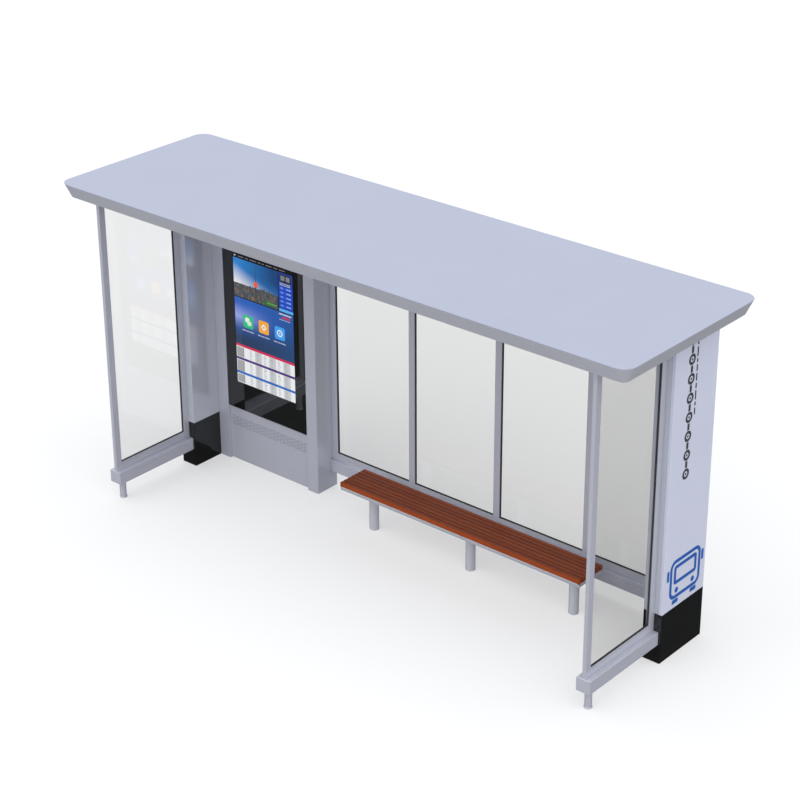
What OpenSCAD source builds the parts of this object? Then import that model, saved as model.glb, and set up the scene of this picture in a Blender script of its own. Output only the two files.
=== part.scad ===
// Bus shelter: a flat roof with slanting rims on two deep piers, glazed end and back
// walls hung above the ground on box beams, a display cabinet and a slatted bench.
// The origin is on the ground under the middle of the roof. +X runs to the right-hand
// pier, -Y faces the kerb, +Z is up. All sizes are in millimetres.

/* [Overall] */
// Length over the piers' outer faces
shelter_l = 5000; // [4150:1:6000]
// Depth from the front ends of the end walls' beams to the back of the piers
shelter_d = 1399; // [1160:1:1700]
// Height of the roof's top above the ground
roof_top = 2795; // [2320:1:3400]

/* [Roof] */
// How far the roof reaches past a pier's outer face
overhang_end = 242; // [120:1:400]
// How far the roof reaches past the end walls' beams in front
overhang_front = 97; // [97:1:400]
// How far the roof reaches past the back of the piers
overhang_back = 104; // [97:1:400]
// Height of the slanting rim
rim_h = 122; // [90:1:170]
// How far the rim slants inward at its foot
rim_in = 54; // [20:1:56]
// Corner radius of the rim, seen from above
rim_r = 105; // [60:1:160]
// Width of the rim's flat foot
rim_foot = 40; // [20:1:40]
// Thickness of the sheet that closes the top
deck_t = 4; // [2:1:8]
// Thickness of the ceiling panel
soffit_t = 15; // [8:1:30]
// How far the ceiling panel is set up inside the rim
soffit_up = 8; // [0:1:30]

/* [Piers] */
// Thickness of a pier, across the shelter
pier_t = 160; // [130:1:200]
// Depth of a pier, front to back
pier_d = 546; // [440:1:670]
// Thickness of the cladding panel on a pier's outer face
panel_t = 27; // [15:1:40]
// Height of the plinths
plinth_h = 414; // [300:1:520]

/* [Beams and feet] */
// Height of the beams' underside above the ground
beam_z = 158; // [100:1:200]
// Height of the beams
beam_h = 110; // [80:1:140]
// Width of the end walls' beams
beam_w = 120; // [90:1:130]
// Depth of the back wall's beam
back_beam_d = 75; // [60:1:110]
// Diameter of a front foot
foot_dia = 56; // [40:1:60]
// Distance from a beam's front end to the middle of its foot
foot_in = 74; // [45:1:150]
// Diameter of the collar at the bottom of a foot
collar_dia = 64; // [62:1:90]
// Height of that collar
collar_h = 8; // [5:1:15]

/* [Glazing frames] */
// Face width of the frame profiles
profile_w = 60; // [40:1:75]
// Thickness of the frame profiles
profile_t = 30; // [25:1:45]
// Distance from a beam's front end to the front post
post_in = 8; // [0:1:30]
// Height of the bottom rails
rail_h = 66; // [40:1:90]
// Height of the top rails
top_rail_h = 60; // [40:1:90]
// Width of the rubber gasket round a pane
gasket_w = 6; // [6:1:14]
// How far the gasket stands out from each face of its pane
gasket_lip = 3; // [2:1:6]
// How deep a pane sits in its gasket
bite = 3; // [2:1:5]
// Thickness of a pane
glass_t = 8; // [6:1:12]
// Set-back of the back wall's frame from the front face of its beam
frame_in = 23; // [5:1:23]

/* [Display cabinet] */
// Width of the cabinet
cab_w = 1160; // [1000:1:1300]
// Depth of the cabinet
cab_d = 241; // [150:1:300]
// Width of each side strip on its front
strip_w = 118; // [80:1:150]
// Thickness of the strips
strip_t = 30; // [20:1:40]
// Height of the display glass's lower edge above the ground
glass_z = 520; // [440:1:560]
// Set-back of the display glass behind the strips
glass_set = 5; // [0:1:10]
// Thickness of the display glass
cab_glass_t = 8; // [6:1:12]
// Width of the lit screen
screen_w = 684; // [500:1:760]
// Height of the lit screen
screen_h = 1216; // [900:1:1300]
// Height of the screen's lower edge above the ground
screen_z = 779; // [600:1:900]
// Height of the vent's lower edge above the ground
vent_z = 328; // [250:1:340]
// Height of the vent
vent_h = 95; // [60:1:100]
// Thickness of the vent plate
vent_t = 4; // [2:1:8]

/* [Bench] */
// Length of the bench
bench_l = 2400; // [1900:1:3000]
// Depth of the seat
bench_d = 300; // [250:1:360]
// Height of the seat
bench_h = 450; // [375:1:560]
// Gap between the back wall's beam and the seat
bench_gap = 201; // [60:1:260]
// Number of slats
slats = 7; // [5:1:9]
// Thickness of the slats
slat_t = 38; // [20:1:45]
// Gap between two slats
slat_gap = 7; // [3:1:10]
// Height of the steel frame under the slats
tray_h = 28; // [25:1:60]
// Width of the frame's bars
tray_bar = 40; // [30:1:50]
// Diameter of the legs
leg_dia = 80; // [60:1:110]
// Distance from the seat's end to the middle of an end leg
leg_end = 187; // [100:1:300]
// Distance from the seat's rear edge to the middle of the legs
leg_in = 96; // [70:1:170]

/* [Hidden] */
$fn = 64;

// Number of panes in the back wall
bays = 4;

// Roof
roof_l = shelter_l + 2 * overhang_end;
roof_d = shelter_d + overhang_front + overhang_back;
inset = rim_in + rim_foot;

// Heights
deck_z = roof_top - deck_t;
rim_z = roof_top - rim_h;
ceiling_z = rim_z + soffit_up;
beam_top = beam_z + beam_h;
pane_z = beam_top + rail_h;
pane_top = ceiling_z - top_rail_h;

// Piers and end walls
back_y = roof_d / 2 - overhang_back;
beam_front_y = overhang_front - roof_d / 2;
pier_out = shelter_l / 2;
pier_in = pier_out - pier_t;
pier_y = back_y - pier_d;
wall_x = pier_out - pier_t / 2;
front_post_y = beam_front_y + post_in;
end_pane_y = front_post_y + profile_w;
end_pane_l = pier_y - profile_w - end_pane_y;

// Back wall, from the cabinet's side to the right-hand pier
back_x = -pier_in + cab_w;
back_l = pier_in - back_x;
bay = back_l / bays;
beam_y = back_y - back_beam_d;
frame_y = beam_y + frame_in;
gasket_d = glass_t + 2 * gasket_lip;
gasket_y = frame_y + (profile_t - gasket_d) / 2;

// Display cabinet
cab_x = -pier_in;
cab_y = back_y - cab_d;
front_w = cab_w - 2 * strip_w;
front_x = cab_x + strip_w;
surround_y = cab_y + glass_set;
recess_y = cab_y + strip_t;
screen_x = cab_x + (cab_w - screen_w) / 2;

// Bench
bench_x = back_x + (back_l - bench_l) / 2;
leg_pitch = bench_l / 2 - leg_end;
bench_y = beam_y - bench_gap - bench_d;
slat_pitch = (bench_d + slat_gap) / slats;
slat_w = slat_pitch - slat_gap;
seat_z = bench_h - slat_t;
leg_y = bench_y + bench_d - leg_in;

paint = [0.64, 0.65, 0.70];
roof_paint = [0.76, 0.78, 0.86];
dark = [0.10, 0.10, 0.11];
clear = [0.80, 0.88, 0.88, 0.35];

// A block from its lowest corner and its size
module block(corner, size) {
    translate(corner) cube(size);
}

// Rounded outline of the roof, set in from the rim's upper edge
module roof_outline(set_in) {
    r = max(rim_r - set_in, 5);
    l = roof_l - 2 * set_in;
    d = roof_d - 2 * set_in;
    square([l - 2 * r, d], center = true);
    square([l, d - 2 * r], center = true);
    for (sx = [-1, 1], sy = [-1, 1])
        translate([sx * (l / 2 - r), sy * (d / 2 - r)]) circle(r);
}

// Top sheet, laid over the whole roof to the edge of the rims
module roof_deck() {
    color(roof_paint)
        translate([0, 0, deck_z]) linear_extrude(deck_t) roof_outline(0);
}

// Slanting rim: wide at the top, narrow at its foot, with a straight inner face
module roof_rim() {
    color(paint)
        difference() {
            hull() {
                translate([0, 0, deck_z - 1]) linear_extrude(1) roof_outline(0);
                translate([0, 0, rim_z]) linear_extrude(1) roof_outline(rim_in);
            }
            translate([0, 0, rim_z - 1])
                linear_extrude(deck_z - rim_z + 2) roof_outline(inset);
        }
}

// Ceiling panel, carried by the piers, posts and top rails
module roof_soffit() {
    color(paint)
        translate([0, 0, ceiling_z])
            linear_extrude(soffit_t) roof_outline(inset);
}

// Pier without its outer cladding; side is -1 on the left and 1 on the right
module pier(side) {
    w = pier_t - panel_t;
    color(paint)
        block([side > 0 ? pier_in : -pier_in - w, pier_y, plinth_h],
              [w, pier_d, ceiling_z - plinth_h]);
}

// Cladding panel on the pier's outer face
module pier_panel(side) {
    color(paint)
        block([side > 0 ? pier_out - panel_t : -pier_out, pier_y, plinth_h],
              [panel_t, pier_d, ceiling_z - plinth_h]);
}

// Black plinth under a pier
module plinth(side) {
    color(dark)
        block([side > 0 ? pier_in : -pier_out, pier_y, 0], [pier_t, pier_d, plinth_h]);
}

// Box beam that carries an end wall, from the pier to the front foot
module bottom_beam(side) {
    color(paint)
        block([side * wall_x - beam_w / 2, beam_front_y, beam_z],
              [beam_w, pier_y - beam_front_y, beam_h]);
}

// Round foot with a collar, under the front end of an end wall's beam
module front_foot(side) {
    color(paint)
        translate([side * wall_x, beam_front_y + foot_in, 0]) {
            cylinder(h = beam_z, d = foot_dia);
            cylinder(h = collar_h, d = collar_dia);
        }
}

// Part of an end wall's frame: y and z are its lowest corner, l and h its length and height
module end_bar(side, y, z, l, h, t = profile_t) {
    block([side * wall_x - t / 2, y, z], [t, l, h]);
}

module front_post(side) {
    color(paint) end_bar(side, front_post_y, beam_top, profile_w, ceiling_z - beam_top);
}

module back_post(side) {
    color(paint)
        end_bar(side, pier_y - profile_w, beam_top, profile_w, ceiling_z - beam_top);
}

module end_bottom_rail(side) {
    color(paint) end_bar(side, end_pane_y, beam_top, end_pane_l, rail_h);
}

module end_top_rail(side) {
    color(paint) end_bar(side, end_pane_y, pane_top, end_pane_l, top_rail_h);
}

// Gasket lining a whole pane opening, with a groove for the glass
module end_gasket(side) {
    color(dark)
        difference() {
            end_bar(side, end_pane_y, pane_z, end_pane_l, pane_top - pane_z, gasket_d);
            end_bar(side, end_pane_y + gasket_w, pane_z + gasket_w,
                    end_pane_l - 2 * gasket_w, pane_top - pane_z - 2 * gasket_w,
                    gasket_d + 2);
            end_pane(side);
        }
}

module end_pane(side) {
    edge = gasket_w - bite;
    end_bar(side, end_pane_y + edge, pane_z + edge, end_pane_l - 2 * edge,
            pane_top - pane_z - 2 * edge, glass_t);
}

module end_glass(side) {
    color(clear) end_pane(side);
}

// Box beam under the back wall, between the cabinet and the right-hand pier
module back_bottom_beam() {
    color(paint) block([back_x, beam_y, beam_z], [back_l, back_beam_d, beam_h]);
}

module back_rail(z, h) {
    color(paint)
        block([back_x + profile_w, frame_y, z], [back_l - 2 * profile_w, profile_t, h]);
}

// Upright of the back wall; x is its left edge, z0 and z1 are its ends
module back_upright(x, z0, z1) {
    color(paint) block([x, frame_y, z0], [profile_w, profile_t, z1 - z0]);
}

module mullion(i) {
    back_upright(back_x + i * bay - profile_w / 2, pane_z, pane_top);
}

// Clear opening of a bay: its left edge and its width
function bay_x(i) = back_x + i * bay + (i == 0 ? profile_w : profile_w / 2);
function bay_w(i) = bay - (i == 0 || i == bays - 1 ? 1.5 : 1) * profile_w;

module back_pane(i) {
    edge = gasket_w - bite;
    block([bay_x(i) + edge, frame_y + (profile_t - glass_t) / 2, pane_z + edge],
          [bay_w(i) - 2 * edge, glass_t, pane_top - pane_z - 2 * edge]);
}

// One gasket round each pane of the back wall
module back_gaskets() {
    color(dark)
        for (i = [0 : bays - 1])
            difference() {
                block([bay_x(i), gasket_y, pane_z], [bay_w(i), gasket_d, pane_top - pane_z]);
                block([bay_x(i) + gasket_w, gasket_y - 1, pane_z + gasket_w],
                      [bay_w(i) - 2 * gasket_w, gasket_d + 2,
                       pane_top - pane_z - 2 * gasket_w]);
                back_pane(i);
            }
}

module back_glass(i) {
    color(clear) back_pane(i);
}

// Cabinet housing up to the back of the strips, with a seat for the vent plate
module cabinet_body() {
    color(paint)
        difference() {
            block([cab_x, recess_y, 0], [cab_w, back_y - recess_y, ceiling_z]);
            block([front_x, recess_y - 1, vent_z], [front_w, vent_t + 1, vent_h]);
        }
}

// Two flat strips up the sides of the cabinet's front
module cabinet_strips() {
    color(paint)
        for (x = [cab_x, front_x + front_w])
            block([x, cab_y, 0], [strip_w, strip_t, ceiling_z]);
}

// Vent plate let into the lower panel
module cabinet_vent() {
    color(paint) block([front_x, recess_y, vent_z], [front_w, vent_t, vent_h]);
}

// Black glass front with an opening for the screen
module display_surround() {
    d = recess_y - surround_y;
    color(dark)
        difference() {
            block([front_x, surround_y, glass_z], [front_w, d, ceiling_z - glass_z]);
            block([screen_x, surround_y - 1, screen_z], [screen_w, cab_glass_t + 1, screen_h]);
        }
}

module display_screen() {
    color("steelblue")
        block([screen_x, surround_y, screen_z], [screen_w, cab_glass_t, screen_h]);
}

// Steel frame under the seat: a rim and a cross bar over each leg
module bench_frame() {
    color(roof_paint)
        translate([bench_x, bench_y, seat_z - tray_h]) {
            difference() {
                cube([bench_l, bench_d, tray_h]);
                translate([tray_bar, tray_bar, -1])
                    cube([bench_l - 2 * tray_bar, bench_d - 2 * tray_bar, tray_h + 2]);
            }
            for (i = [-1 : 1])
                translate([bench_l / 2 + i * leg_pitch - leg_dia / 2, tray_bar, 0])
                    cube([leg_dia, bench_d - 2 * tray_bar, tray_h]);
        }
}

module bench_slats() {
    color([0.40, 0.20, 0.15])
        for (i = [0 : slats - 1])
            block([bench_x, bench_y + i * slat_pitch, seat_z], [bench_l, slat_w, slat_t]);
}

// Round leg under a cross bar; i counts from the left
module bench_leg(i) {
    color(roof_paint)
        translate([bench_x + bench_l / 2 + (i - 2) * leg_pitch, leg_y, 0])
            cylinder(h = seat_z - tray_h, d = leg_dia);
}

roof_deck();
roof_rim();
roof_soffit();
pier(-1);  // left_pier
pier(1);  // right_pier
pier_panel(-1);  // left_pier_panel
pier_panel(1);  // right_pier_panel
plinth(-1);  // left_plinth
plinth(1);  // right_plinth
bottom_beam(-1);  // left_bottom_beam
bottom_beam(1);  // right_bottom_beam
front_foot(-1);  // left_front_foot
front_foot(1);  // right_front_foot
front_post(-1);  // left_front_post
front_post(1);  // right_front_post
back_post(-1);  // left_back_post
back_post(1);  // right_back_post
end_bottom_rail(-1);  // left_bottom_rail
end_bottom_rail(1);  // right_bottom_rail
end_top_rail(-1);  // left_top_rail
end_top_rail(1);  // right_top_rail
end_gasket(-1);  // left_gasket
end_gasket(1);  // right_gasket
end_glass(-1);  // left_glass
end_glass(1);  // right_glass
back_bottom_beam();
back_rail(beam_top, rail_h);  // back_bottom_rail
back_rail(pane_top, top_rail_h);  // back_top_rail
back_upright(back_x, beam_top, ceiling_z);  // back_left_post
mullion(1);  // back_mullion_1
mullion(2);  // back_mullion_2
mullion(3);  // back_mullion_3
back_upright(pier_in - profile_w, beam_top, ceiling_z);  // back_right_post
back_gaskets();
back_glass(0);  // back_glass_1
back_glass(1);  // back_glass_2
back_glass(2);  // back_glass_3
back_glass(3);  // back_glass_4
cabinet_body();
cabinet_strips();
cabinet_vent();
display_surround();
display_screen();
bench_frame();
bench_slats();
bench_leg(1);  // bench_leg_1
bench_leg(2);  // bench_leg_2
bench_leg(3);  // bench_leg_3
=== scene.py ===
import random
from math import cos, pi, radians, sin

import bmesh
import bpy
from mathutils import Matrix, Vector


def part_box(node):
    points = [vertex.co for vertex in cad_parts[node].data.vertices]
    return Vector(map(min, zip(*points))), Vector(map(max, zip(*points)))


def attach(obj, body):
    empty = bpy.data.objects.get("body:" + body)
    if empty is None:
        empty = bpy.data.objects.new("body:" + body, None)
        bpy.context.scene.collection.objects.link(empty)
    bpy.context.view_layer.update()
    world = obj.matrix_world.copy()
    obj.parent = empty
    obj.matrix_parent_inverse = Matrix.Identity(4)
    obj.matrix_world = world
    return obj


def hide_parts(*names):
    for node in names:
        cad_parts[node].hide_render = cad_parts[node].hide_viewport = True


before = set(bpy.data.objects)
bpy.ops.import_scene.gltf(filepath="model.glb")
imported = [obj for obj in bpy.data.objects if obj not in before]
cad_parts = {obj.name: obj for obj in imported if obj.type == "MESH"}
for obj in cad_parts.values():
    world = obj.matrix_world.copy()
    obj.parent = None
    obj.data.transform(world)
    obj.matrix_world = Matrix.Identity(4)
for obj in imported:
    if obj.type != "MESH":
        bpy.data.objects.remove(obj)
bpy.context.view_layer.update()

scene = bpy.context.scene


# ---- Camera, light and floor -------------------------------------------------------------
# A long lens looks down on the shelter from the front right. The light is a plain studio:
# a pale dome and two very soft suns, high at the front and low at the right, over a pale
# floor that glows a little from below, as a light table does.
FLOOR_REACH = 2000
camera_data = bpy.data.cameras.new("view")
camera_data.lens = 93.79
camera_data.clip_end = FLOOR_REACH * 2.5
camera_data.shift_x = -0.0283
camera_data.shift_y = -0.0484
camera = bpy.data.objects.new("view", camera_data)
camera.location = (9.487, -10.881, 8.502)
camera.rotation_euler = (radians(64.97), 0, radians(40))
scene.collection.objects.link(camera)
scene.camera = camera
scene.view_settings.view_transform = "Standard"

world = bpy.data.worlds.new("studio_dome")
world.use_nodes = True
scene.world = world
dome = world.node_tree
for node in list(dome.nodes):
    dome.nodes.remove(node)
dome_direction = dome.nodes.new("ShaderNodeTexCoord")
dome_height = dome.nodes.new("ShaderNodeSeparateXYZ")
dome_ramp = dome.nodes.new("ShaderNodeValToRGB")
dome_light = dome.nodes.new("ShaderNodeBackground")
dome_out = dome.nodes.new("ShaderNodeOutputWorld")
dome_ramp.color_ramp.elements[0].position = 0.0
dome_ramp.color_ramp.elements[0].color = (0.05, 0.05, 0.055, 1)
dome_ramp.color_ramp.elements[1].position = 0.01
dome_ramp.color_ramp.elements[1].color = (0.95, 0.97, 1.0, 1)
dome.links.new(dome_direction.outputs["Generated"], dome_height.inputs[0])
dome.links.new(dome_height.outputs["Z"], dome_ramp.inputs["Fac"])
dome.links.new(dome_ramp.outputs["Color"], dome_light.inputs["Color"])
dome.links.new(dome_light.outputs["Background"], dome_out.inputs["Surface"])
dome_light.inputs["Strength"].default_value = 0.84

# Each sun has its strength, its spread, its heading from -Y towards +X, and its height.
for name, strength, spread, heading, height in (("front_sun", 2.27, 100, 0, 56),
                                                ("right_sun", 0.68, 80, 85, 25)):
    sun_data = bpy.data.lights.new(name, "SUN")
    sun_data.energy = strength
    sun_data.angle = radians(spread)
    sun = bpy.data.objects.new(name, sun_data)
    heading, height = radians(heading), radians(height)
    towards_sun = Vector((sin(heading) * cos(height), -cos(heading) * cos(height), sin(height)))
    sun.rotation_euler = towards_sun.to_track_quat("Z", "Y").to_euler()
    scene.collection.objects.link(sun)

floor_mesh = bpy.data.meshes.new("studio_floor")
floor_bm = bmesh.new()
bmesh.ops.create_grid(floor_bm, x_segments=1, y_segments=1, size=FLOOR_REACH)
floor_bm.to_mesh(floor_mesh)
floor_bm.free()
floor = bpy.data.objects.new("studio_floor", floor_mesh)
scene.collection.objects.link(floor)
floor_paint = bpy.data.materials.new("studio_floor_white")
floor_paint.use_nodes = True
floor_shader = floor_paint.node_tree.nodes["Principled BSDF"]
floor_shader.inputs["Base Color"].default_value = (0.44, 0.44, 0.44, 1)
floor_shader.inputs["Roughness"].default_value = 0.9
floor_shader.inputs["Specular IOR Level"].default_value = 0.0
floor_shader.inputs["Emission Color"].default_value = (1, 1, 1, 1)
floor_shader.inputs["Emission Strength"].default_value = 0.40
floor_mesh.materials.append(floor_paint)
floor.visible_glossy = False


# ---- Roof --------------------------------------------------------------------------------
# A shallow steel box: a flat top sheet folded over slanting rims with rounded corners, and a
# flat foot that returns inward to carry the ceiling. Coated pale blue-grey after welding.
def add_piece(name, bm, finish, slot_name, *nodes):
    """Turns bm into a finished piece that rides on the shelter and stands for these nodes."""
    bmesh.ops.remove_doubles(bm, verts=bm.verts, dist=1e-6)
    bmesh.ops.recalc_face_normals(bm, faces=bm.faces)
    for face in bm.faces:
        face.smooth = True
    mesh = bpy.data.meshes.new(name)
    bm.to_mesh(mesh)
    bm.free()
    piece = bpy.data.objects.new(name, mesh)
    scene.collection.objects.link(piece)
    mesh.materials.append(finish)
    even = piece.modifiers.new("even_normals", "WEIGHTED_NORMAL")
    even.keep_sharp = True
    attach(piece, "root")
    if nodes:
        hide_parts(*nodes)
    return piece


def round_sharp_edges(bm, radius, segments=3, sharper_than=0.5):
    """Rounds every edge that turns by more than this many radians."""
    edges = [e for e in bm.edges if e.is_manifold and e.calc_face_angle() > sharper_than]
    bmesh.ops.bevel(bm, geom=edges, offset=radius, segments=segments, profile=0.5,
                    affect="EDGES", clamp_overlap=True, material=-1)


def add_block(bm, low, high, radius, segments=3):
    """Adds a block with rounded edges to bm."""
    low, high = Vector(low), Vector(high)
    corners = bmesh.ops.create_cube(bm, size=1)["verts"]
    bmesh.ops.scale(bm, vec=high - low, verts=corners)
    bmesh.ops.translate(bm, vec=(low + high) / 2, verts=corners)
    edges = list({e for v in corners for e in v.link_edges})
    bmesh.ops.bevel(bm, geom=edges, offset=radius, segments=segments, profile=0.5,
                    affect="EDGES", clamp_overlap=True, material=-1)


def new_finish(name):
    """A new node material: itself, its nodes, its links and its shader."""
    finish = bpy.data.materials.new(name)
    finish.use_nodes = True
    tree = finish.node_tree
    return finish, tree.nodes, tree.links, tree.nodes["Principled BSDF"]


def add_noise(nodes, links, scale, detail=2):
    """Noise that stays with the piece."""
    place = nodes.new("ShaderNodeTexCoord")
    noise = nodes.new("ShaderNodeTexNoise")
    noise.inputs["Scale"].default_value = scale
    noise.inputs["Detail"].default_value = detail
    links.new(place.outputs["Object"], noise.inputs["Vector"])
    return noise.outputs["Fac"]


def add_range(nodes, links, value, low, high, start=0.0, end=1.0):
    """Carries a value from start..end over to low..high."""
    span = nodes.new("ShaderNodeMapRange")
    for name, number in (("From Min", start), ("From Max", end),
                         ("To Min", low), ("To Max", high)):
        span.inputs[name].default_value = number
    links.new(value, span.inputs["Value"])
    return span.outputs["Result"]


def tint_with(nodes, links, shader, noise, colour, darker, paler):
    """Base colour that the noise carries between a darker and a paler share of itself."""
    tone = nodes.new("ShaderNodeMix")
    tone.data_type = "RGBA"
    tone.inputs["A"].default_value = (*[c * darker for c in colour], 1)
    tone.inputs["B"].default_value = (*[min(1, c * paler) for c in colour], 1)
    links.new(noise, tone.inputs["Factor"])
    links.new(tone.outputs["Result"], shader.inputs["Base Color"])


def bump_with(nodes, links, shader, noise, distance, strength=1.0):
    """Relief from the noise."""
    bump = nodes.new("ShaderNodeBump")
    bump.inputs["Strength"].default_value = strength
    bump.inputs["Distance"].default_value = distance
    links.new(noise, bump.inputs["Height"])
    links.new(bump.outputs["Normal"], shader.inputs["Normal"])


def coated_steel(name, colour, roughness, clouding=0.03, peel=0.00012, mirror=0.5,
                 flake=0.0):
    """Powder coat: faint clouding of the tone and gloss, a fine orange-peel texture, and a
    share of metal flake in the silvery ones."""
    coat, nodes, links, shader = new_finish(name)
    shader.inputs["IOR"].default_value = 1.6
    shader.inputs["Specular IOR Level"].default_value = mirror
    shader.inputs["Metallic"].default_value = flake
    clouds = add_noise(nodes, links, 2.2, detail=3)
    tint_with(nodes, links, shader, clouds, colour, 1 - clouding, 1 + clouding)
    gloss = add_range(nodes, links, clouds, roughness - 0.04, roughness + 0.04)
    links.new(gloss, shader.inputs["Roughness"])
    bump_with(nodes, links, shader, add_noise(nodes, links, 420), peel, strength=0.35)
    return coat


# The roof top's coat is paler and bluer than the rest: partly a paler paint of its own, partly
# painted bluish sky light on the up-facing top.
sky_lit_roof_coat = coated_steel("sky_lit_roof_coat", (0.335, 0.36, 0.455), 0.48)
# The rim's coat is a darker, greyer copy of the frame paint: painted shade on the rim, which
# slants down.
shaded_rim_coat = coated_steel("shaded_rim_coat", (0.305, 0.311, 0.352), 0.45)
frame_coat = coated_steel("frame_coat", (0.435, 0.447, 0.515), 0.24, mirror=1.0, flake=0.22)

deck_low, deck_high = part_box("roof_deck")
rim_low, rim_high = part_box("roof_rim")
ceiling_low, ceiling_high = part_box("roof_soffit")
RIM_LEAN = 0.054
RIM_LIP = 0.001
RIM_CORNER = 0.105
RIM_FACETS = 12
rim_foot = rim_high.x - RIM_LEAN - ceiling_high.x


def rounded_plan(low, high, z, corner, segments):
    """A new bmesh with one face: this box's plan at this height, with rounded corners."""
    bm = bmesh.new()
    bmesh.ops.create_grid(bm, x_segments=1, y_segments=1, size=0.5)
    bmesh.ops.scale(bm, vec=(high.x - low.x, high.y - low.y, 1), verts=bm.verts)
    bmesh.ops.translate(bm, vec=((low.x + high.x) / 2, (low.y + high.y) / 2, z),
                        verts=bm.verts)
    bmesh.ops.bevel(bm, geom=bm.verts[:], offset=corner, segments=segments, profile=0.5,
                    affect="VERTICES", material=-1)
    return bm


def extrude_by(bm, faces, step):
    """Extrudes these faces by a step and returns the faces at its far end."""
    moved = bmesh.ops.extrude_face_region(bm, geom=faces)["geom"]
    bmesh.ops.translate(bm, vec=step,
                        verts=[g for g in moved if isinstance(g, bmesh.types.BMVert)])
    return [g for g in moved if isinstance(g, bmesh.types.BMFace)]


bm = rounded_plan(rim_low, rim_high, deck_high.z, RIM_CORNER, RIM_FACETS)
extrude_by(bm, bm.faces[:], (0, 0, deck_low.z - deck_high.z))
bmesh.ops.recalc_face_normals(bm, faces=bm.faces)
round_sharp_edges(bm, 0.0018)
add_piece("roof_top_sheet", bm, sky_lit_roof_coat, "roof_paint", "roof_deck")

bm = rounded_plan(rim_low, rim_high, rim_high.z, RIM_CORNER, RIM_FACETS)
underside = extrude_by(bm, bm.faces[:], (0, 0, -RIM_LIP))
bmesh.ops.recalc_face_normals(bm, faces=bm.faces)
bmesh.ops.inset_region(bm, faces=underside, thickness=RIM_LEAN,
                       depth=rim_high.z - rim_low.z - RIM_LIP, use_even_offset=True)
bmesh.ops.inset_region(bm, faces=underside, thickness=rim_foot, use_even_offset=True)
extrude_by(bm, underside, (0, 0, ceiling_high.z - rim_low.z))
bmesh.ops.delete(bm, geom=[f for f in underside if f.is_valid], context="FACES_ONLY")
bmesh.ops.recalc_face_normals(bm, faces=bm.faces)
round_sharp_edges(bm, 0.003)
add_piece("roof_rim_shell", bm, shaded_rim_coat, "frame_paint", "roof_rim")

# The ceiling is three coated panels laid end to end, with an open joint between them.
CEILING_PANELS = 3
CEILING_JOINT = 0.004
CEILING_PLAY = 0.002
panel_step = (ceiling_high.x - ceiling_low.x) / CEILING_PANELS
bm = bmesh.new()
for i in range(CEILING_PANELS):
    left = ceiling_low.x + i * panel_step + CEILING_JOINT / 2
    add_block(bm, (left, ceiling_low.y + CEILING_PLAY, ceiling_low.z),
              (left + panel_step - CEILING_JOINT, ceiling_high.y - CEILING_PLAY,
               ceiling_high.z), 0.0015)
add_piece("ceiling_panels", bm, frame_coat, "frame_paint", "roof_soffit")


# ---- Piers -------------------------------------------------------------------------------
# Deep hollow slabs folded from steel sheet, with a thick cladding panel on the outer face
# and a flush black plinth that takes knocks and splashes at the foot.
pier_coat = coated_steel("pier_coat", (0.480, 0.492, 0.560), 0.17, mirror=1.0, flake=0.22)
# The cladding's coat is paler and bluer than the pier body's: partly a paler paint of its own,
# partly painted light on the outer faces.
lit_cladding_coat = coated_steel("lit_cladding_coat", (0.480, 0.500, 0.612), 0.42)
plinth_coat = coated_steel("plinth_coat", (0.007, 0.0073, 0.0073), 0.12, 0.15, 0.00005)
PIER_EDGE = 0.003

for side in ("left", "right"):
    for part, name, finish, slot_name in (
            ("pier", "pier_body", pier_coat, "frame_paint"),
            ("pier_panel", "pier_cladding", lit_cladding_coat, "frame_paint"),
            ("plinth", "plinth_cover", plinth_coat, "plinth_paint")):
        bm = bmesh.new()
        add_block(bm, *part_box(f"{side}_{part}"), PIER_EDGE)
        add_piece(f"{side}_{name}", bm, finish, slot_name, f"{side}_{part}")


# ---- Pier graphics -----------------------------------------------------------------------
# Cut vinyl film on the cladding of both piers: a dark route line with round stops and a row
# of dashes climbs to the roof, and a blue bus pictogram in plain outline stands at the foot.
FILM = 0.0004
LINE_Y = 0.357
LINE_W = 0.028
LINE_FOOT = 1.500
LINE_TOP_GAP = 0.110
LINE_SPLIT = 0.005
STOP_R = 0.043
STOP_RING = 0.022
STOP_DOT = 0.020
STOP_STEP = 0.150
DASH_Y = 0.425
DASH_W = 0.016
DASH_FOOT = 1.950
DASHES = (0.052, 0.030, 0.074, 0.041, 0.060)


def vinyl_film(name, colour):
    """Matt self-adhesive film, with a faint mottle where it follows the coat beneath."""
    film, nodes, links, shader = new_finish(name)
    shader.inputs["Roughness"].default_value = 0.5
    mottle = add_noise(nodes, links, 60)
    tint_with(nodes, links, shader, mottle, colour, 0.9, 1.1)
    bump_with(nodes, links, shader, mottle, 0.0002, strength=0.2)
    return film


def move_into(bm, part):
    """Adds a finished part, a bmesh of its own, to bm."""
    made = bpy.data.meshes.new("part")
    part.to_mesh(made)
    part.free()
    bm.from_mesh(made)
    bpy.data.meshes.remove(made)


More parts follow.
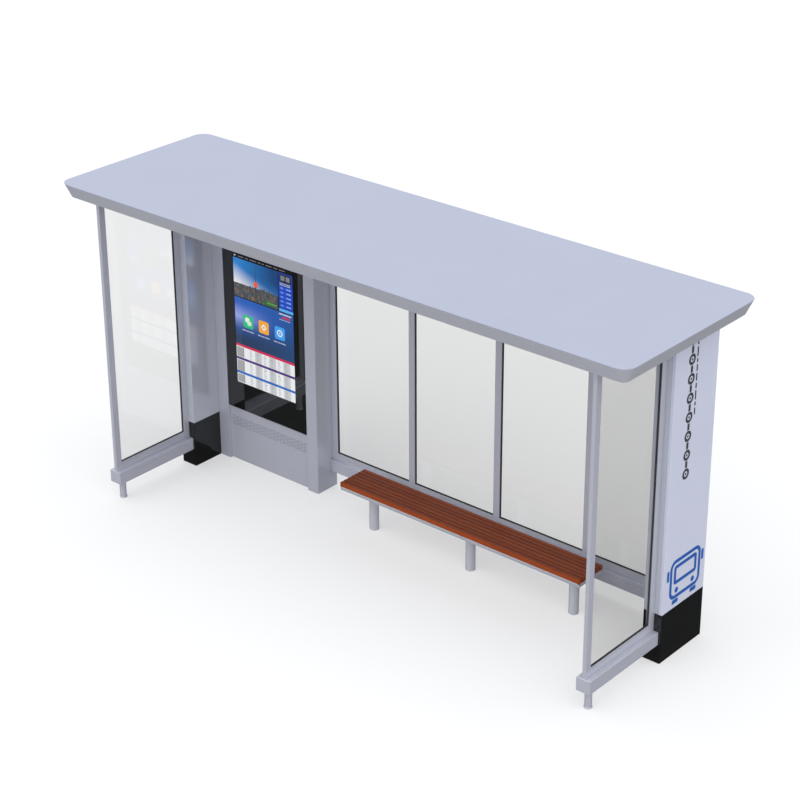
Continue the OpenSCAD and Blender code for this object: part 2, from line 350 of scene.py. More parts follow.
def add_film(bm, y, z, size_y, size_z, corner=0.0, stroke=0.0):
    """A film shape centred on (y, z), drawn flat on X = 0; a stroke leaves only its outline."""
    shape = bmesh.new()
    bmesh.ops.create_grid(shape, x_segments=1, y_segments=1, size=0.5)
    bmesh.ops.scale(shape, vec=(size_y, size_z, 1), verts=shape.verts)
    if corner:
        bmesh.ops.bevel(shape, geom=shape.verts[:], offset=corner, segments=10, profile=0.5,
                        affect="VERTICES", material=-1)
        bmesh.ops.remove_doubles(shape, verts=shape.verts, dist=1e-5)
    if stroke:
        inside = shape.faces[:]
        bmesh.ops.inset_region(shape, faces=inside, thickness=stroke, use_boundary=True,
                               use_even_offset=True)
        bmesh.ops.delete(shape, geom=inside, context="FACES_ONLY")
    extrude_by(shape, shape.faces[:], (0, 0, FILM))
    stand_up = Matrix(((0, 0, 1), (1, 0, 0), (0, 1, 0)))
    bmesh.ops.transform(shape, matrix=stand_up.to_4x4(), verts=shape.verts)
    bmesh.ops.translate(shape, vec=(0, y, z), verts=shape.verts)
    move_into(bm, shape)


def place_film(bm, side):
    """Moves film shapes from X = 0 onto the outer face of this side's cladding."""
    low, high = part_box(f"{side}_pier_panel")
    out = -1 if side == "left" else 1
    bmesh.ops.scale(bm, vec=(out, 1, 1), verts=bm.verts)
    bmesh.ops.translate(bm, vec=(low.x if side == "left" else high.x, 0, 0), verts=bm.verts)


dark_vinyl = vinyl_film("dark_vinyl", (0.045, 0.047, 0.055))
blue_vinyl = vinyl_film("blue_vinyl", (0.003, 0.080, 0.34))
BUS_MIDDLE_Y = 0.430
BUS_MIDDLE_Z = 0.655
BUS_STROKE = 0.030
# The body and the windscreen: height over the middle, width, height and corner.
BUS_OUTLINES = ((0, 0.400, 0.330, 0.070), (0.035, 0.296, 0.160, 0.028))
# Pairs of lamps, wheels and mirrors: place out from the middle and up, width, height, corner.
BUS_PAIRS = ((0.105, -0.098, 0.046, 0.046, 0.0229), (0.118, -0.189, 0.080, 0.036, 0.012),
             (0.224, 0.060, 0.030, 0.090, 0.012))

for side in ("left", "right"):
    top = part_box(f"{side}_pier_panel")[1].z - LINE_TOP_GAP
    stops = int((top - LINE_FOOT) / STOP_STEP) + 1
    bm = bmesh.new()
    for i in range(stops):
        height = LINE_FOOT + i * STOP_STEP
        add_film(bm, LINE_Y, height, STOP_R * 2, STOP_R * 2, corner=STOP_R - 0.0001,
                 stroke=STOP_RING)
        add_film(bm, LINE_Y, height, STOP_DOT, STOP_DOT, corner=STOP_DOT / 2 - 0.0001)
        if i + 1 < stops:
            add_film(bm, LINE_Y, height + STOP_STEP / 2, LINE_W,
                     STOP_STEP - (STOP_R + LINE_SPLIT) * 2)
    height = DASH_FOOT
    for length in DASHES * 20:
        if height + length > top:
            break
        add_film(bm, DASH_Y, height + length / 2, DASH_W, length, corner=0.004)
        height += length + DASH_W
    place_film(bm, side)
    add_piece(f"{side}_route_line_film", bm, dark_vinyl, "dark_vinyl")

    bm = bmesh.new()
    for up, wide, tall, corner in BUS_OUTLINES:
        add_film(bm, BUS_MIDDLE_Y, BUS_MIDDLE_Z + up, wide, tall, corner, BUS_STROKE)
    for across in (-1, 1):
        for out, up, wide, tall, corner in BUS_PAIRS:
            add_film(bm, BUS_MIDDLE_Y + across * out, BUS_MIDDLE_Z + up, wide, tall, corner)
    place_film(bm, side)
    add_piece(f"{side}_bus_film", bm, blue_vinyl, "blue_vinyl")


# ---- End walls: beams and feet -----------------------------------------------------------
# A box beam runs from each pier to a round front foot and carries the glazing. Its front end
# is closed by a thin welded cap; the foot is a steel tube with a low collar at the floor.
BEAM_EDGE = 0.004
CAP = 0.004
FOOT_R = 0.028
COLLAR_R = 0.032
COLLAR_H = 0.008


def add_round_post(bm, centre, profile):
    """Spins a profile of (radius, height) pairs round an upright axis."""
    ring = [bm.verts.new((centre[0] + r, centre[1], z)) for r, z in profile]
    for a, b in zip(ring, ring[1:]):
        bm.edges.new((a, b))
    edges = list({e for v in ring for e in v.link_edges})
    bmesh.ops.spin(bm, geom=ring + edges, cent=(centre[0], centre[1], 0), axis=(0, 0, 1),
                   angle=2 * pi, steps=48, use_merge=True)


for side in ("left", "right"):
    low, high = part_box(f"{side}_bottom_beam")
    bm = bmesh.new()
    add_block(bm, (low.x, low.y + CAP, low.z), high, BEAM_EDGE)
    add_block(bm, low, (high.x, low.y + CAP, high.z), 0.0012)
    add_piece(f"{side}_box_beam", bm, frame_coat, "frame_paint", f"{side}_bottom_beam")

    low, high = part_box(f"{side}_front_foot")
    middle = (low + high) / 2
    bm = bmesh.new()
    add_round_post(bm, middle, (
        (0.0, 0.0), (COLLAR_R - 0.001, 0.0), (COLLAR_R, 0.001), (COLLAR_R, COLLAR_H - 0.001),
        (COLLAR_R - 0.001, COLLAR_H), (FOOT_R + 0.0005, COLLAR_H + 0.001),
        (FOOT_R, COLLAR_H + 0.003), (FOOT_R, high.z), (0.0, high.z)))
    add_piece(f"{side}_round_foot", bm, frame_coat, "frame_paint", f"{side}_front_foot")


# ---- End walls: frames and panes ---------------------------------------------------------
# Flat aluminium profiles stand on the beam and hold one tall pane. A bead clipped on the
# rails and a thin black rubber gasket in the middle of the profile keep the glass in place.
PROFILE_EDGE = 0.0015
BEAD = 0.020
BEAD_STEP = 0.0025
GASKET_W = 0.006
PANE_EDGE = 0.0008


def rubber(name, colour, roughness):
    """Extruded rubber: matt, with a fine tooth and slightly paler chalking."""
    skin, nodes, links, shader = new_finish(name)
    shader.inputs["Roughness"].default_value = roughness
    chalk = add_noise(nodes, links, 35)
    tint_with(nodes, links, shader, chalk, colour, 1.0, 1.6)
    bump_with(nodes, links, shader, chalk, 0.0002)
    return skin


def clear_pane(name, tint):
    """Toughened glass: tinted see-through body, with a mirror that grows at a slant."""
    glass, nodes, links, shader = new_finish(name)
    nodes.remove(shader)
    out = nodes["Material Output"]
    body = nodes.new("ShaderNodeBsdfTransparent")
    body.inputs["Color"].default_value = (*tint, 1)
    mirror = nodes.new("ShaderNodeBsdfGlossy")
    mirror.inputs["Color"].default_value = (1, 1, 1, 1)
    mirror.inputs["Roughness"].default_value = 0.03
    slant = nodes.new("ShaderNodeLayerWeight")
    steep = nodes.new("ShaderNodeMath")
    steep.operation = "POWER"
    steep.inputs[1].default_value = 5
    links.new(slant.outputs["Facing"], steep.inputs[0])
    share = nodes.new("ShaderNodeMath")
    share.operation = "MULTIPLY_ADD"
    share.inputs[1].default_value = 0.9
    share.inputs[2].default_value = 0.04
    links.new(steep.outputs["Value"], share.inputs[0])
    both = nodes.new("ShaderNodeMixShader")
    links.new(share.outputs["Value"], both.inputs["Fac"])
    links.new(body.outputs["BSDF"], both.inputs[1])
    links.new(mirror.outputs["BSDF"], both.inputs[2])
    links.new(both.outputs["Shader"], out.inputs["Surface"])
    return glass


gasket_rubber = rubber("gasket_rubber", (0.012, 0.012, 0.013), 0.6)
end_glass = clear_pane("end_glass", (0.925, 0.925, 0.922))
back_glass = clear_pane("back_glass", (0.90, 0.90, 0.897))


def add_rail(bm, low, high, bead_on_top):
    """A rail whose inner strip, next to the pane, is a bead set back from both faces."""
    thin = min(range(2), key=lambda axis: high[axis] - low[axis])
    step = Vector((0, 0, 0))
    step[thin] = BEAD_STEP
    if bead_on_top:
        add_block(bm, low, (high.x, high.y, high.z - BEAD), PROFILE_EDGE)
        add_block(bm, Vector((low.x, low.y, high.z - BEAD)) + step, high - step, 0.001)
    else:
        add_block(bm, (low.x, low.y, low.z + BEAD), high, PROFILE_EDGE)
        add_block(bm, low + step, Vector((high.x, high.y, low.z + BEAD)) - step, 0.001)


def add_gasket(bm, low, high, width):
    """A closed rubber frame as deep as its box, standing in the plane of the wall."""
    thin = min(range(2), key=lambda axis: high[axis] - low[axis])
    size = high - low
    turn = Matrix.Rotation(pi / 2, 4, "Y" if thin == 0 else "X")
    made = bmesh.ops.create_grid(bm, x_segments=1, y_segments=1, size=0.5)["verts"]
    across = size.z if thin == 0 else size.x
    along = size.y if thin == 0 else size.z
    bmesh.ops.scale(bm, vec=(across, along, 1), verts=made)
    bmesh.ops.rotate(bm, cent=(0, 0, 0), matrix=turn.to_3x3(), verts=made)
    bmesh.ops.translate(bm, vec=(low + high) / 2, verts=made)
    face = made[0].link_faces[0]
    bmesh.ops.inset_region(bm, faces=[face], thickness=width, use_boundary=True,
                           use_even_offset=True)
    ring = [f for e in face.edges for f in e.link_faces if f is not face]
    bmesh.ops.delete(bm, geom=[face], context="FACES_ONLY")
    push = Vector((0, 0, 0))
    push[thin] = size[thin] / 2
    bmesh.ops.translate(bm, vec=-push, verts=list({v for f in ring for v in f.verts}))
    extrude_by(bm, ring, push * 2)


for side in ("left", "right"):
    for part in ("front_post", "back_post"):
        bm = bmesh.new()
        add_block(bm, *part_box(f"{side}_{part}"), PROFILE_EDGE)
        add_piece(f"{side}_{part}_profile", bm, frame_coat, "frame_paint", f"{side}_{part}")
    for part, on_top in (("bottom_rail", True), ("top_rail", False)):
        bm = bmesh.new()
        add_rail(bm, *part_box(f"{side}_{part}"), on_top)
        add_piece(f"{side}_{part}_profile", bm, frame_coat, "frame_paint", f"{side}_{part}")
    bm = bmesh.new()
    add_gasket(bm, *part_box(f"{side}_gasket"), GASKET_W)
    add_piece(f"{side}_pane_gasket", bm, gasket_rubber, "gasket_rubber", f"{side}_gasket")
    bm = bmesh.new()
    add_block(bm, *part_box(f"{side}_glass"), PANE_EDGE, 1)
    add_piece(f"{side}_pane", bm, end_glass, "clear_glass", f"{side}_glass")


# ---- Back wall ---------------------------------------------------------------------------
# Four tall panes between flat mullions, carried by a box beam that spans from the cabinet
# to the right-hand pier. The profiles, beads and gaskets are those of the end walls.
UPRIGHTS = ("left_post", "mullion_1", "mullion_2", "mullion_3", "right_post")

bm = bmesh.new()
add_block(bm, *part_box("back_bottom_beam"), BEAM_EDGE)
add_piece("back_box_beam", bm, frame_coat, "frame_paint", "back_bottom_beam")
for part, on_top in (("bottom_rail", True), ("top_rail", False)):
    bm = bmesh.new()
    add_rail(bm, *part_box(f"back_{part}"), on_top)
    add_piece(f"back_{part}_profile", bm, frame_coat, "frame_paint", f"back_{part}")
for part in UPRIGHTS:
    bm = bmesh.new()
    add_block(bm, *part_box(f"back_{part}"), PROFILE_EDGE)
    add_piece(f"back_{part}_profile", bm, frame_coat, "frame_paint", f"back_{part}")
gasket_low, gasket_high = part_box("back_gaskets")
uprights = [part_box(f"back_{part}") for part in UPRIGHTS]
bm = bmesh.new()
for (_, left_of), (right_of, _) in zip(uprights, uprights[1:]):
    add_gasket(bm, Vector((left_of.x, gasket_low.y, gasket_low.z)),
               Vector((right_of.x, gasket_high.y, gasket_high.z)), GASKET_W)
add_piece("back_pane_gaskets", bm, gasket_rubber, "gasket_rubber", "back_gaskets")
for i in range(1, len(UPRIGHTS)):
    bm = bmesh.new()
    add_block(bm, *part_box(f"back_glass_{i}"), PANE_EDGE, 1)
    add_piece(f"back_pane_{i}", bm, back_glass, "clear_glass", f"back_glass_{i}")


# ---- Display cabinet ---------------------------------------------------------------------
# A tall steel housing beside the left pier. Two flat strips run up its front; between them
# a lower panel with a band of vent slots is set back below the black glass.
body_low, body_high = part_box("cabinet_body")
strip_low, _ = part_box("cabinet_strips")
vent_low, vent_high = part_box("cabinet_vent")
glass_low, glass_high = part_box("display_surround")
screen_low, screen_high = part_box("display_screen")
CABINET_EDGE = 0.004

plan = ((body_low.x, body_high.y), (body_high.x, body_high.y), (body_high.x, strip_low.y),
        (vent_high.x, strip_low.y), (vent_high.x, body_low.y), (vent_low.x, body_low.y),
        (vent_low.x, strip_low.y), (body_low.x, strip_low.y))
bm = bmesh.new()
sheet = bm.faces.new([bm.verts.new((x, y, 0)) for x, y in plan])
extrude_by(bm, [sheet], (0, 0, body_high.z))
bmesh.ops.recalc_face_normals(bm, faces=bm.faces)
round_sharp_edges(bm, CABINET_EDGE)
add_piece("cabinet_housing", bm, frame_coat, "frame_paint", "cabinet_body", "cabinet_strips")

PANEL_T = 0.003
PANEL_PLAY = 0.002
VENT_ROWS = 6
SLOT_PITCH = 0.080
SLOT_TIE = 0.018
SLOT_BAR = 0.0125
panel_left, panel_right = vent_low.x + PANEL_PLAY, vent_high.x - PANEL_PLAY
bm = bmesh.new()
for foot, top in ((0.004, vent_low.z), (vent_high.z, glass_low.z - PANEL_PLAY)):
    add_block(bm, (panel_left, vent_low.y - PANEL_T, foot), (panel_right, vent_low.y, top),
              0.001)
add_piece("cabinet_lower_panel", bm, frame_coat, "frame_paint")

# The vent's slots lie in staggered rows, with short ties between bars that run right across.
bm = bmesh.new()
row_step = (vent_high.z - vent_low.z) / VENT_ROWS
slots_front, slots_back = vent_low.y - PANEL_T + 0.0005, vent_low.y - 0.0005
for row in range(VENT_ROWS + 1):
    bar = vent_low.z + row * row_step
    add_block(bm, (panel_left, slots_front, max(vent_low.z, bar - SLOT_BAR / 2)),
              (panel_right, slots_back, min(vent_high.z, bar + SLOT_BAR / 2)), 0.0004, 1)
    tie = panel_left + SLOT_PITCH / 2 * (row % 2)
    while row < VENT_ROWS and tie < panel_right - SLOT_TIE:
        add_block(bm, (tie, slots_front, bar + SLOT_BAR / 2),
                  (tie + SLOT_TIE, slots_back, bar + row_step - SLOT_BAR / 2), 0.0002, 1)
        tie += SLOT_PITCH
add_piece("cabinet_vent_slots", bm, frame_coat, "frame_paint", "cabinet_vent")
bm = bmesh.new()
add_block(bm, (panel_left, vent_low.y - 0.0004, vent_low.z),
          (panel_right, vent_low.y - 0.0001, vent_high.z), 0.0001, 1)
add_piece("cabinet_vent_gauze", bm, gasket_rubber, "gasket_rubber")


def add_upright_ring(bm, outer, inner, y, depth):
    """A flat ring between two upright rectangles, given as (x0, z0, x1, z1), made thick."""
    loops = []
    for x0, z0, x1, z1 in (outer, inner):
        ring = [bm.verts.new((x, y, z)) for x, z in ((x0, z0), (x1, z0), (x1, z1), (x0, z1))]
        loops += [bm.edges.new((a, b)) for a, b in zip(ring, ring[1:] + ring[:1])]
    made = bmesh.ops.bridge_loops(bm, edges=loops)["faces"]
    extrude_by(bm, made, (0, depth, 0))
    bmesh.ops.recalc_face_normals(bm, faces=bm.faces)


def gloss_glass(name, colour, roughness):
    """Back-printed glass: near black, with a mirror surface that is very slightly wavy."""
    glass, nodes, links, shader = new_finish(name)
    shader.inputs["Base Color"].default_value = (*colour, 1)
    shader.inputs["Roughness"].default_value = roughness
    shader.inputs["IOR"].default_value = 1.6
    shader.inputs["Specular IOR Level"].default_value = 1.0
    bump_with(nodes, links, shader, add_noise(nodes, links, 3), 0.002, strength=0.04)
    return glass


black_glass = gloss_glass("black_glass", (0.006, 0.0065, 0.006), 0.03)
bm = bmesh.new()
add_upright_ring(bm,
                 (glass_low.x + 0.001, glass_low.z, glass_high.x - 0.001, glass_high.z),
                 (screen_low.x, screen_low.z, screen_high.x, screen_high.z),
                 glass_low.y, glass_high.y - glass_low.y)
round_sharp_edges(bm, 0.0008, 2)
add_piece("display_black_glass", bm, black_glass, "black_glass", "display_surround")


# ---- Screen ------------------------------------------------------------------------------
# A lit upright display bonded behind the glass. Its page is made up and wordless: an evening
# sky over a low town, a weather column, three round-cornered keys and a timetable.
# Places and sizes on the page are shares of its width and height, from its top left.
PAGE_LAYER = 0.00015
PAGE_BACK = 0.0012
MARGIN = 0.005
PAGE_SPAN = 0.990
PICTURE_TOP = 0.050
PICTURE_FOOT = 0.338
PICTURE_W = 0.750
HORIZON = 0.235
DUSK_TOP = 0.343
COLUMN_U = 0.765
COLUMN_W = 0.232
TABLE_TOP = 0.715
TABLE_H = 0.283
STRIPE = 0.018
LINE_STEP = 0.0125
page_w, page_h = screen_high.x - screen_low.x, screen_high.z - screen_low.z
square = page_w / page_h


def scale_colour(nodes, links, colour, share, target):
    """Links a colour, multiplied by a share, to the target."""
    scaled = nodes.new("ShaderNodeVectorMath")
    scaled.operation = "SCALE"
    links.new(colour, scaled.inputs[0])
    links.new(share, scaled.inputs["Scale"])
    links.new(scaled.outputs["Vector"], target)


def lit_page(name):
    """Backlit film: each tile glows in its own colour, a little unevenly, under a gloss."""
    film, nodes, links, shader = new_finish(name)
    shader.inputs["Base Color"].default_value = (0.01, 0.01, 0.01, 1)
    shader.inputs["Roughness"].default_value = 0.04
    shader.inputs["Emission Strength"].default_value = 1.0
    tile = nodes.new("ShaderNodeAttribute")
    tile.attribute_name = "tone"
    backlight = add_range(nodes, links, add_noise(nodes, links, 5), 0.93, 1.03)
    scale_colour(nodes, links, tile.outputs["Color"], backlight,
                 shader.inputs["Emission Color"])
    return film


def mix(a, b, share):
    """The colour at this share of the way from a to b."""
    return tuple(p + (q - p) * max(0.0, min(1.0, share)) for p, q in zip(a, b))


def add_tile(bm, u, v, size_u, size_v, tone, level=1, corner=0.0, cuts=0, lean=0.0):
    """A thin tile on the page, with its top left at (u, v); higher levels lie in front. The
    tone is a colour, or a function of the place on the page that gives one."""
    tile = bmesh.new()
    tones = tile.loops.layers.float_color.new("tone")
    bmesh.ops.create_cube(tile, size=1)
    bmesh.ops.scale(tile, vec=(size_u * page_w, PAGE_LAYER, size_v * page_h), verts=tile.verts)
    thick = [e for e in tile.edges if e.calc_length() < PAGE_LAYER * 1.01]
    if cuts:
        flat = [e for e in tile.edges if e not in thick]
        bmesh.ops.subdivide_edges(tile, edges=flat, cuts=cuts, use_grid_fill=True)
    if corner:
        bmesh.ops.bevel(tile, geom=thick, offset=corner * page_w, segments=6, profile=0.5,
                        affect="EDGES", clamp_overlap=True, material=-1)
    if lean:
        bmesh.ops.rotate(tile, cent=(0, 0, 0), matrix=Matrix.Rotation(lean, 3, "Y"),
                         verts=tile.verts)
    bmesh.ops.translate(tile, verts=tile.verts, vec=(
        screen_low.x + (u + size_u / 2) * page_w,
        screen_low.y + PAGE_BACK - (level - 0.5) * PAGE_LAYER,
        screen_high.z - (v + size_v / 2) * page_h))
    for loop in [loop for face in tile.faces for loop in face.loops]:
        here = tone
        if callable(tone):
            here = tone((loop.vert.co.x - screen_low.x) / page_w,
                        (screen_high.z - loop.vert.co.z) / page_h)
        loop[tones] = (*here, 1)
    move_into(bm, tile)


def add_disc(bm, u, v, across, tone, level):
    """A round tile."""
    add_tile(bm, u, v, across, across * square, tone, level, corner=across / 2 - 0.0005)


def add_dashes(bm, u, v, size_u, size_v, tone, level, lengths):
    """A row of short dashes that fills size_u; lengths are their shares of that row."""
    for length in lengths:
        add_tile(bm, u, v, length * size_u, size_v, tone, level, corner=size_v * 0.4)
        u += (length + 0.03) * size_u


WHITE = (0.80, 0.82, 0.84)
PALE_GREY = (0.47, 0.48, 0.50)
GREY = (0.38, 0.39, 0.41)
DARK_GREY = (0.30, 0.30, 0.30)
DIM_GREY = (0.22, 0.23, 0.25)
INK = (0.20, 0.21, 0.24)
UNLIT = (0.004, 0.004, 0.005)
SKY_PALE = (0.88, 0.86, 0.84)
SKY_BLUE = (0.025, 0.21, 0.58)
SKY_DEEP = (0.010, 0.055, 0.19)
DUSK = (0.025, 0.11, 0.46)
DUSK_DEEP = (0.015, 0.07, 0.22)
NIGHT = (0.020, 0.045, 0.11)
LILAC = (0.34, 0.40, 0.78)
STONE = (0.055, 0.070, 0.085)
BRICK = (0.40, 0.18, 0.06)
SHADE = (0.03, 0.10, 0.13)
RED = (0.62, 0.022, 0.080)


def sky(u, v):
    """Pale over the horizon at the left, clear blue above it and deep blue to the right."""
    up = (0.24 - v) / 0.20
    low_glow = mix(SKY_PALE, SKY_BLUE, up * 1.25 + u * 1.25)
    return mix(low_glow, SKY_DEEP, (u - 0.08) * 1.7 * min(1.0, 0.5 + up))


def dusk(u, v):
    """Blue at the top, a lilac haze at the left and the middle, dark at the foot."""
    down = (v - 0.34) / 0.36
    haze = mix(DUSK, LILAC, (0.9 - abs(down - 0.40) * 3.2) * (1.05 - u * 1.6))
    shade = mix(haze, NIGHT, (down - 0.36) * 2.2 + (u - 0.5) * 0.2)
    return mix(shade, DUSK_DEEP, (u - 0.3) * 0.9)


bm = bmesh.new()
back_tone = bm.loops.layers.float_color.new("tone")
add_block(bm, (screen_low.x, screen_low.y + PAGE_BACK, screen_low.z), screen_high, 0.0003, 1)
for face in bm.faces:
    for loop in face.loops:
        loop[back_tone] = (*UNLIT, 1)
add_dashes(bm, 0.02, 0.028, 0.05, 0.010, PALE_GREY, 1, (0.6,))
add_dashes(bm, 0.10, 0.031, 0.86, 0.005, DIM_GREY, 1,
           (0.10, 0.06, 0.13, 0.05, 0.04, 0.12, 0.08, 0.11))
add_tile(bm, MARGIN, PICTURE_TOP, PICTURE_W, 0.199, sky, 1, cuts=14)
add_tile(bm, MARGIN, HORIZON, PICTURE_W, PICTURE_FOOT - HORIZON, (0.035, 0.045, 0.06), 2)
add_tile(bm, MARGIN, DUSK_TOP, PAGE_SPAN, 0.357, dusk, 1, cuts=14)

# The town: rows of small blocks, lower and warmer towards the front, a patch of park, and a
# plain mast with a red ball.
pick = random.Random(7)
for row in range(6):
    block = 0.007
    while block < 0.725:
        wide = pick.uniform(0.012, 0.030)
        tall = pick.uniform(0.010, 0.024) + (0.012 if row == 0 and pick.random() < 0.2 else 0)
        warm = mix(STONE, BRICK, pick.random() ** 2 * (0.35 + row * 0.14))
        cool = mix(warm, SHADE, pick.random() * 0.6)
        foot = 0.250 + row * 0.0165
        add_tile(bm, block, foot - tall, min(wide, 0.752 - block), tall, cool, 3 + row % 2)
        block += wide * 0.98
add_tile(bm, 0.50, 0.296, 0.20, 0.036, (0.03, 0.13, 0.05), 5, corner=0.02)
add_tile(bm, 0.56, 0.304, 0.17, 0.012, (0.12, 0.30, 0.07), 6, corner=0.008)
for wide, top, foot in ((0.008, 0.075, 0.200), (0.020, 0.200, 0.315)):
    add_tile(bm, 0.380 - wide / 2, top, wide, foot - top, (0.045, 0.050, 0.065), 5)
add_disc(bm, 0.345, 0.186, 0.070, (0.86, 0.10, 0.03), 6)

# The weather column: a clock panel, five rows and a strip at its foot.
add_tile(bm, COLUMN_U, PICTURE_TOP, COLUMN_W, 0.284, (0.012, 0.050, 0.36), 1)
add_tile(bm, 0.785, 0.060, 0.190, 0.058, (0.018, 0.019, 0.022), 2, corner=0.015)
for i in range(2):
    add_tile(bm, 0.803 + i * 0.085, 0.070, 0.065, 0.036, INK, 3, corner=0.008)
    add_dashes(bm, 0.785, 0.124 + i * 0.012, 0.19, 0.006, PALE_GREY, 2, (0.3, 0.2, 0.35))
for i in range(5):
    top = 0.151 + i * 0.032
    add_tile(bm, 0.778, top, 0.205, 0.024, (0.015, 0.085, 0.60), 2, corner=0.008)
    add_tile(bm, 0.792, top + 0.005, 0.050, 0.014, (0.14, 0.22, 0.70), 3, corner=0.010)
    add_dashes(bm, 0.890, top + 0.007, 0.085, 0.009, (0.30, 0.38, 0.80), 3, (0.35, 0.5))
add_tile(bm, COLUMN_U, 0.316, COLUMN_W, 0.020, (0.10, 0.42, 0.82), 2)

# The keys, each with a plain sign in white, and captions as rows of dashes. Beside them, two
# rows of dashes with a red bar between.
KEY = 0.170
KEY_TOP = 0.460
GREEN, AMBER, AZURE = (0.03, 0.50, 0.20), (0.86, 0.38, 0.05), (0.05, 0.34, 0.84)
key_v = KEY * square
middle = KEY_TOP + key_v / 2
KEYS = ((0.142, GREEN), (0.407, AMBER), (0.677, AZURE))
for left, tone in KEYS:
    add_tile(bm, left, KEY_TOP, KEY, key_v, tone, 2, corner=0.028)
    add_dashes(bm, left - 0.02, KEY_TOP + key_v + 0.020, KEY + 0.04, 0.008,
               (0.42, 0.45, 0.58), 2, (0.30, 0.22, 0.36))
bubble, box, badge = [left + KEY / 2 for left, _ in KEYS]
add_tile(bm, bubble - 0.050, middle - 0.030, 0.072, 0.036, WHITE, 3, corner=0.018)
add_tile(bm, bubble - 0.014, middle - 0.008, 0.066, 0.034, (0.62, 0.76, 0.66), 4,
         corner=0.016)
add_tile(bm, box - 0.034, middle - 0.019, 0.068, 0.068 * square, WHITE, 3, corner=0.010,
         lean=pi / 4)
add_tile(bm, box - 0.016, middle - 0.009, 0.032, 0.032 * square, AMBER, 4, corner=0.006,
         lean=pi / 4)
add_disc(bm, badge - 0.046, middle - 0.026, 0.092, WHITE, 3)
add_disc(bm, badge - 0.030, middle - 0.017, 0.060, AZURE, 4)
add_disc(bm, badge - 0.010, middle - 0.0055, 0.020, WHITE, 5)
add_dashes(bm, 0.760, 0.352, 0.215, 0.010, (0.55, 0.60, 0.75), 2, (0.30, 0.36, 0.22))
add_dashes(bm, 0.760, 0.396, 0.185, 0.006, (0.35, 0.42, 0.62), 2, (0.42, 0.3, 0.2))
add_tile(bm, 0.810, 0.374, 0.130, 0.014, (0.60, 0.030, 0.055), 2, corner=0.010)

# The timetable: three blocks under coloured stripes, each with six columns of times.
add_tile(bm, MARGIN, 0.698, PAGE_SPAN, STRIPE, RED, 2)
add_tile(bm, MARGIN, TABLE_TOP, PAGE_SPAN, TABLE_H, WHITE, 1)
for i in range(3):
    add_tile(bm, 0.325 + i * 0.240, TABLE_TOP, 0.115, TABLE_H, (0.56, 0.57, 0.59), 2)
for foot, tone in ((0.800, (0.075, 0.030, 0.19)), (0.908, (0.020, 0.13, 0.50))):
    add_tile(bm, MARGIN, foot, PAGE_SPAN, STRIPE, tone, 4)
for top, rows in ((0.722, 6), (0.822, 7), (0.930, 5)):
    add_tile(bm, 0.015, top, 0.120, rows * LINE_STEP, DARK_GREY, 2)
    for line in range(rows):
        line_top = top + line * LINE_STEP
        add_tile(bm, 0.028, line_top + 0.004, 0.092, 0.004, PALE_GREY, 3)
        for column in range(6):
            length = 0.030 + 0.018 * ((line * 5 + column * 3) % 4) / 3
            add_tile(bm, 0.232 + column * 0.120, line_top + 0.003, length, 0.0042,
                     INK if line == 1 else GREY, 3)
add_piece("screen_page", bm, lit_page("lit_page"), "screen_face", "display_screen")


# ---- Bench -------------------------------------------------------------------------------
# Oiled hardwood slats laid lengthwise on a welded steel frame with three round legs. The
# frame is the same size as the seat, so that it shows as a pale band under the wood.
bench_coat = coated_steel("bench_coat", (0.52, 0.53, 0.59), 0.24, mirror=1.0, flake=0.4)
leg_coat = coated_steel("leg_coat", (0.55, 0.56, 0.62), 0.20, mirror=1.0, flake=0.25)
tray_low, tray_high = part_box("bench_frame")
slat_low, slat_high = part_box("bench_slats")
TRAY_BAR = 0.040
TRAY_CORNER = 0.010
TRAY_DROP = 0.0005
SLATS = 7
SLAT_GAP = 0.007
LEGS = (1, 2, 3)

bm = rounded_plan(tray_low, tray_high, tray_low.z, TRAY_CORNER, 5)
middle = bm.faces[:]
bmesh.ops.inset_region(bm, faces=middle, thickness=TRAY_BAR, use_boundary=True,
                       use_even_offset=True)
bmesh.ops.delete(bm, geom=middle, context="FACES_ONLY")
extrude_by(bm, bm.faces[:], (0, 0, tray_high.z - tray_low.z - TRAY_DROP))
bmesh.ops.recalc_face_normals(bm, faces=bm.faces)
round_sharp_edges(bm, 0.002)
for i in LEGS:
    leg_low, leg_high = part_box(f"bench_leg_{i}")
    add_block(bm, (leg_low.x, tray_low.y + TRAY_BAR, tray_low.z + 0.001),
              (leg_high.x, tray_high.y - TRAY_BAR, tray_high.z - 0.001), 0.002)
add_piece("bench_tray", bm, bench_coat, "bench_paint", "bench_frame")


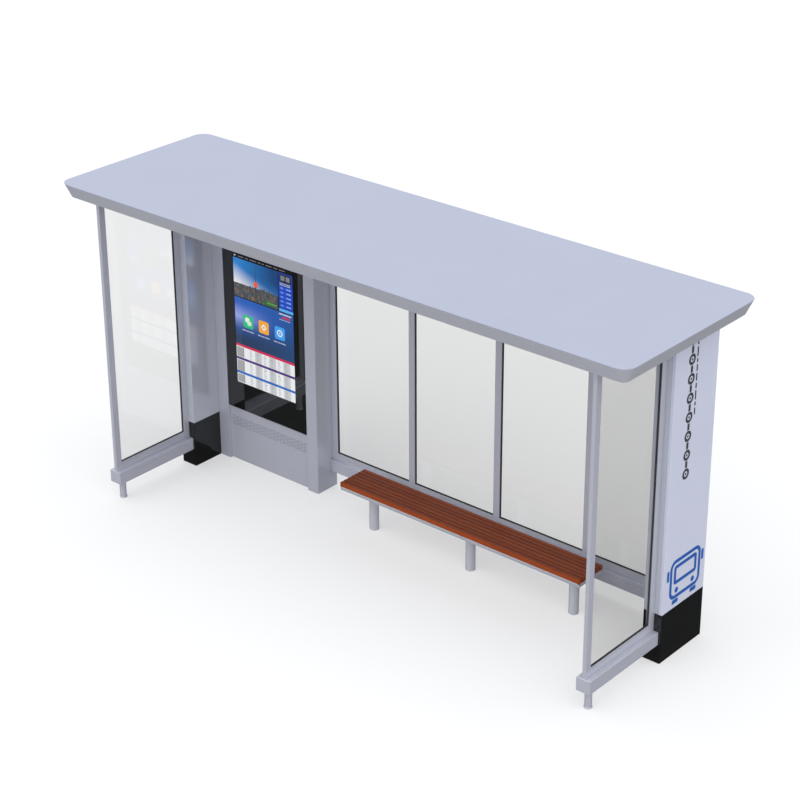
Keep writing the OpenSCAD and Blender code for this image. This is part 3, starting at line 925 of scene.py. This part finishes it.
def hardwood(name, dark, pale, first_board, board_step):
    """Oiled reddish hardwood: grain along X, each board a tone of its own, with painted shade
    that darkens the up-facing tops and the board edges next to the gaps."""
    wood, nodes, links, shader = new_finish(name)
    shader.inputs["Specular IOR Level"].default_value = 0.21

    def work_out(operation, first, second=0.0, third=0.0):
        node = nodes.new("ShaderNodeMath")
        node.operation = operation
        for socket, value in zip(node.inputs, (first, second, third)):
            if isinstance(value, float):
                socket.default_value = value
            else:
                links.new(value, socket)
        return node.outputs["Value"]

    place = nodes.new("ShaderNodeTexCoord")
    along = nodes.new("ShaderNodeMapping")
    along.inputs["Scale"].default_value = (1.6, 60, 60)
    links.new(place.outputs["Object"], along.inputs["Vector"])
    grain = nodes.new("ShaderNodeTexNoise")
    grain.inputs["Scale"].default_value = 2.2
    grain.inputs["Detail"].default_value = 8
    grain.inputs["Roughness"].default_value = 0.6
    grain.inputs["Distortion"].default_value = 0.5
    links.new(along.outputs["Vector"], grain.inputs["Vector"])
    split = nodes.new("ShaderNodeSeparateXYZ")
    links.new(place.outputs["Object"], split.inputs["Vector"])
    board = work_out("DIVIDE", work_out("SUBTRACT", split.outputs["Y"], first_board),
                     board_step)
    own = nodes.new("ShaderNodeTexWhiteNoise")
    own.noise_dimensions = "1D"
    links.new(work_out("FLOOR", board), own.inputs["W"])
    mixed = work_out("MULTIPLY_ADD", own.outputs["Value"], 0.18, grain.outputs["Fac"])
    tone = nodes.new("ShaderNodeValToRGB")
    tone.color_ramp.elements[0].position = 0.30
    tone.color_ramp.elements[0].color = (*dark, 1)
    tone.color_ramp.elements[1].position = 0.90
    tone.color_ramp.elements[1].color = (*pale, 1)
    links.new(mixed, tone.inputs["Fac"])

    facing = nodes.new("ShaderNodeNewGeometry")
    level = nodes.new("ShaderNodeSeparateXYZ")
    links.new(facing.outputs["Normal"], level.inputs["Vector"])
    # Painted shade: faces that point up are darkened, and so is each board's edge next to a
    # gap; the front edge of the first board is spared.
    painted_top_shade = add_range(nodes, links, level.outputs["Z"], 1.0, 0.70, start=0.3, end=0.95)
    from_middle = work_out("ABSOLUTE", work_out("SUBTRACT", work_out("FRACT", board), 0.46))
    painted_gap_shade = add_range(nodes, links, from_middle, 1.0, 0.50, start=0.36, end=0.47)
    behind_front = add_range(nodes, links, board, 0.0, 1.0, start=0.03, end=0.10)
    painted_shade = nodes.new("ShaderNodeMix")
    painted_shade.inputs["A"].default_value = 1.0
    links.new(behind_front, painted_shade.inputs["Factor"])
    links.new(work_out("MULTIPLY", painted_top_shade, painted_gap_shade), painted_shade.inputs["B"])
    scale_colour(nodes, links, tone.outputs["Color"], painted_shade.outputs["Result"],
                 shader.inputs["Base Color"])

    sheen = add_range(nodes, links, grain.outputs["Fac"], 0.38, 0.55)
    links.new(sheen, shader.inputs["Roughness"])
    bump_with(nodes, links, shader, grain.outputs["Fac"], 0.0006, strength=0.5)
    return wood


slat_step = (slat_high.y - slat_low.y + SLAT_GAP) / SLATS
seat_wood = hardwood("seat_wood", (0.155, 0.023, 0.003), (0.315, 0.058, 0.007), slat_low.y,
                     slat_step)
BOARD_EDGE = 0.0035
SEAT_CORNER = 0.014
bm = bmesh.new()
for i in range(SLATS):
    front = slat_low.y + i * slat_step
    low = Vector((slat_low.x, front, slat_low.z))
    high = Vector((slat_high.x, front + slat_step - SLAT_GAP, slat_high.z))
    board = bmesh.ops.create_cube(bm, size=1)["verts"]
    bmesh.ops.scale(bm, vec=high - low, verts=board)
    bmesh.ops.translate(bm, vec=(low + high) / 2, verts=board)
    outer = {0: low.y, SLATS - 1: high.y}.get(i)
    corners = [e for e in {e for v in board for e in v.link_edges}
               if all(v.co.y == outer for v in e.verts) and e.verts[0].co.x == e.verts[1].co.x]
    bmesh.ops.bevel(bm, geom=corners, offset=SEAT_CORNER, segments=5, profile=0.5,
                    affect="EDGES", material=-1)
round_sharp_edges(bm, BOARD_EDGE)
add_piece("bench_boards", bm, seat_wood, "seat_wood", "bench_slats")

for i in LEGS:
    leg_low, leg_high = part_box(f"bench_leg_{i}")
    middle = (leg_low + leg_high) / 2
    radius = (leg_high.x - leg_low.x) / 2
    bm = bmesh.new()
    add_round_post(bm, middle, ((0.0, 0.0), (radius - 0.001, 0.0), (radius, 0.001),
                                (radius, leg_high.z), (0.0, leg_high.z)))
    add_piece(f"bench_round_leg_{i}", bm, leg_coat, "bench_paint", f"bench_leg_{i}")
